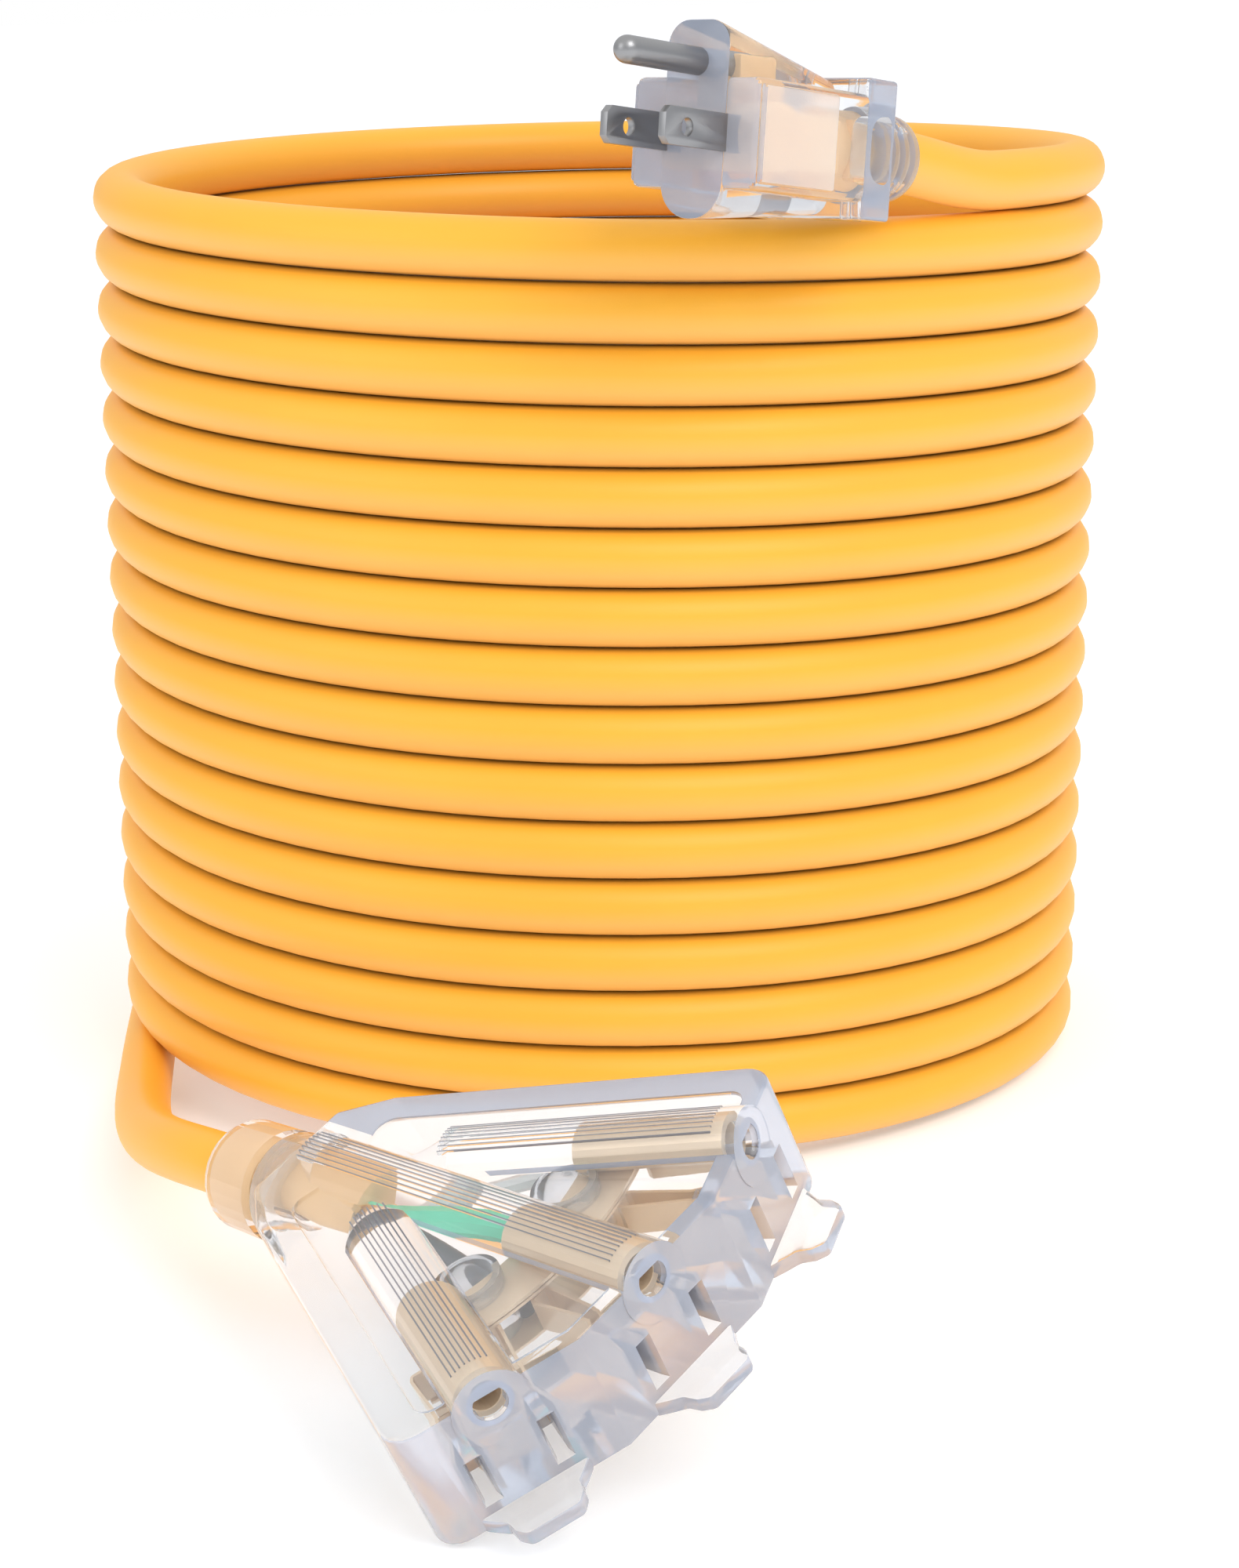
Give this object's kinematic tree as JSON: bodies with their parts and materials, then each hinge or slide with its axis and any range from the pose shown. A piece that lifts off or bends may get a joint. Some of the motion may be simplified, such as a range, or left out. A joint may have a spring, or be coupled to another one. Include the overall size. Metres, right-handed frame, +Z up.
{
  "type": "extension cord",
  "caption": "Coiled heavy-duty extension cord with a three-pin grounded plug and a fan-shaped triple outlet.",
  "frame": {"origin": "bottom centre of the whole object's bounding box, on the surface it stands on", "axes": "+Z up, along the coil's axis within two degrees; -Y to the front, where the triple outlet lies; +X to the right, where the plug's lead leaves the coil"},
  "size_m": [0.2198, 0.3762, 0.2233],
  "materials": {
    "cord_jacket": "satin jacket",
    "clear_vinyl": "clear, faintly blue-grey moulded vinyl, glossy",
    "insert_nylon": "tan moulded insert",
    "nickel_plate": "nickel-plated prongs",
    "brass": "stamped brass",
    "earth_insulation": "mint green insulation",
    "hot_insulation": "black insulation",
    "neutral_insulation": "white insulation"
  },
  "bodies": {
    "root": {"cord_coil": "cord_jacket", "cord_lead_plug": "cord_jacket", "cord_lead_tap": "cord_jacket", "plug_jacket_end": "cord_jacket", "tap_jacket_end": "cord_jacket", "plug_body": "clear_vinyl", "plug_strain_relief": "clear_vinyl", "tap_shell": "clear_vinyl", "tap_outlet_block": "clear_vinyl", "tap_strain_relief": "clear_vinyl", "tap_post_left": "clear_vinyl", "tap_post_right": "clear_vinyl", "plug_blade_holder": "insert_nylon", "tap_cord_clamp": "insert_nylon", "plug_blade_hot": "nickel_plate", "plug_blade_neutral": "nickel_plate", "plug_earth_pin": "nickel_plate", "plug_crimp_hot": "brass", "plug_crimp_neutral": "brass", "plug_crimp_earth": "brass", "tap_bus_hot": "brass", "tap_bus_neutral": "brass", "tap_bus_earth": "brass", "tap_clip_hot_a": "brass", "tap_clip_hot_b": "brass", "tap_clip_hot_c": "brass", "tap_clip_neutral_a": "brass", "tap_clip_neutral_b": "brass", "tap_clip_neutral_c": "brass", "tap_earth_sleeve_a": "brass", "tap_earth_sleeve_b": "brass", "tap_earth_sleeve_c": "brass", "plug_wire_earth": "earth_insulation", "tap_wire_earth": "earth_insulation", "plug_wire_hot": "hot_insulation", "tap_wire_hot": "hot_insulation", "plug_wire_neutral": "neutral_insulation", "tap_wire_neutral": "neutral_insulation"}
  },
  "joints": []
}
